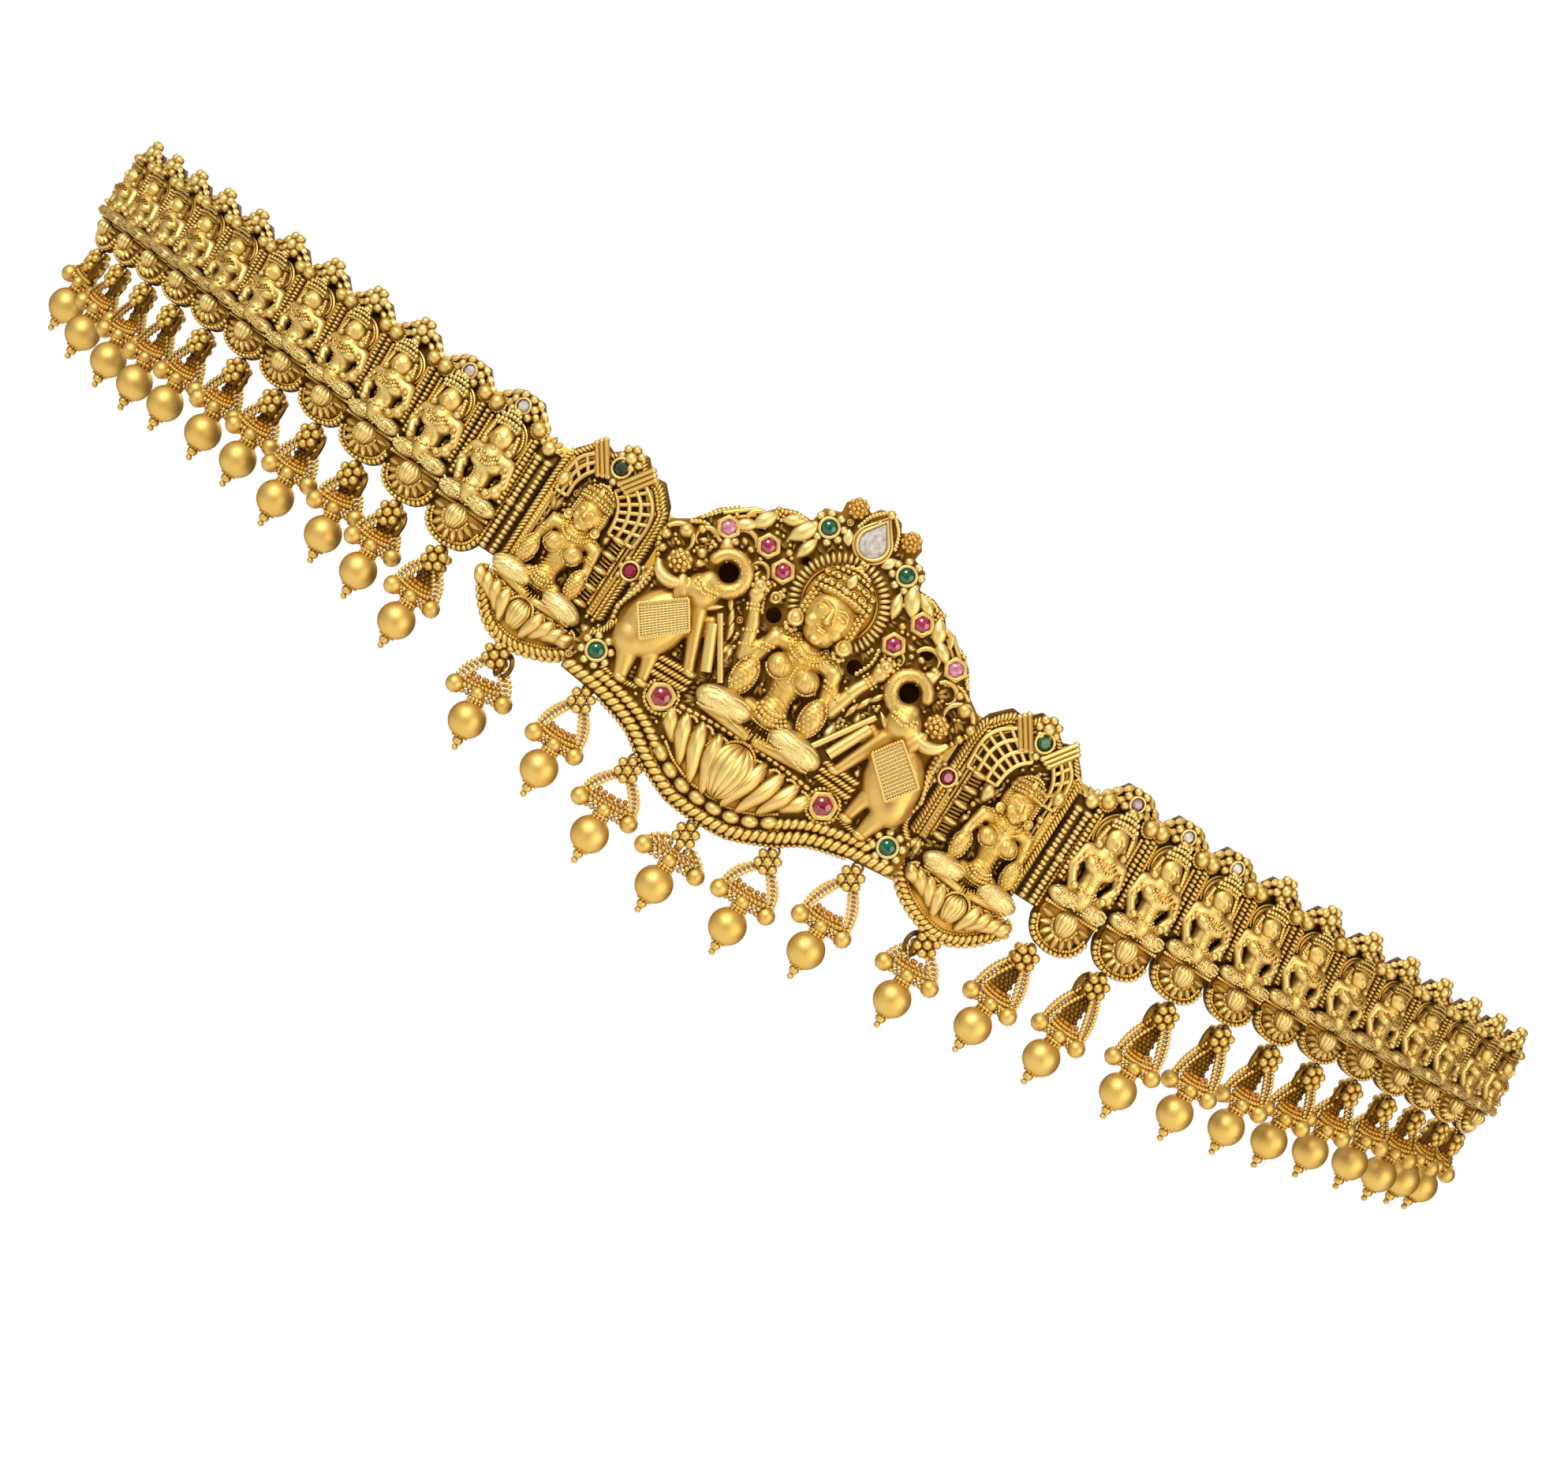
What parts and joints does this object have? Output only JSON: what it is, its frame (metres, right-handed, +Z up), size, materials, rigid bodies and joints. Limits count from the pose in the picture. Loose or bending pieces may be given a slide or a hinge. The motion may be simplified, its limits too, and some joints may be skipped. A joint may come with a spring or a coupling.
{
  "type": "hip chain",
  "caption": "Gold belt of linked figure plates round an open waist loop, with a relief centre plaque, a fringe of bead drops and a plain back band.",
  "frame": {"origin": "middle of the waist, level with the middle of the plain back band", "axes": "+X to the right as seen from in front, the front faces -Y, +Z up"},
  "size_m": [0.2671, 0.2039, 0.0697],
  "materials": {
    "antique_gold": "matte antique high-karat gold with darkened recesses",
    "plain_gold": "satin plain gold band",
    "ruby_red": "polished deep red domed stone",
    "emerald_green": "polished deep green stone",
    "clear_stone": "polished pale cut stone",
    "violet_grey_stone": "polished purple-grey cut stone"
  },
  "bodies": {
    "root": {"centre_plaque": "antique_gold", "side_panel_left": "antique_gold", "side_panel_right": "antique_gold", "plate_left_1": "antique_gold", "plate_left_2": "antique_gold", "plate_left_3": "antique_gold", "plate_left_4": "antique_gold", "plate_right_1": "antique_gold", "plate_right_2": "antique_gold", "plate_right_3": "antique_gold", "plate_right_4": "antique_gold", "back_plate_left_1": "plain_gold", "back_plate_left_2": "plain_gold", "back_plate_left_3": "plain_gold", "back_plate_right_1": "plain_gold", "back_plate_right_2": "plain_gold", "back_plate_right_3": "plain_gold", "clasp": "plain_gold", "centre_links_left": "antique_gold", "centre_links_right": "antique_gold", "hinge_pins_left": "antique_gold", "hinge_pins_right": "antique_gold", "pear_stone": "clear_stone", "ruby_1": "ruby_red", "ruby_2": "ruby_red", "ruby_3": "ruby_red", "ruby_4": "ruby_red", "ruby_5": "ruby_red", "ruby_6": "ruby_red", "ruby_7": "ruby_red", "ruby_8": "ruby_red", "emerald_1": "emerald_green", "emerald_2": "emerald_green", "emerald_3": "emerald_green", "emerald_4": "emerald_green", "side_emerald_left": "emerald_green", "side_emerald_right": "emerald_green", "side_ruby_left": "ruby_red", "side_ruby_right": "ruby_red", "clear_stones_left": "clear_stone", "clear_stones_right": "clear_stone", "violet_stone": "violet_grey_stone", "drops_centre": "antique_gold", "drop_side_left": "antique_gold", "drop_side_right": "antique_gold", "drops_left_1": "antique_gold", "drops_left_2": "antique_gold", "drops_left_3": "antique_gold", "drops_left_4": "antique_gold", "drops_right_1": "antique_gold", "drops_right_2": "antique_gold", "drops_right_3": "antique_gold", "drops_right_4": "antique_gold"}
  },
  "joints": []
}
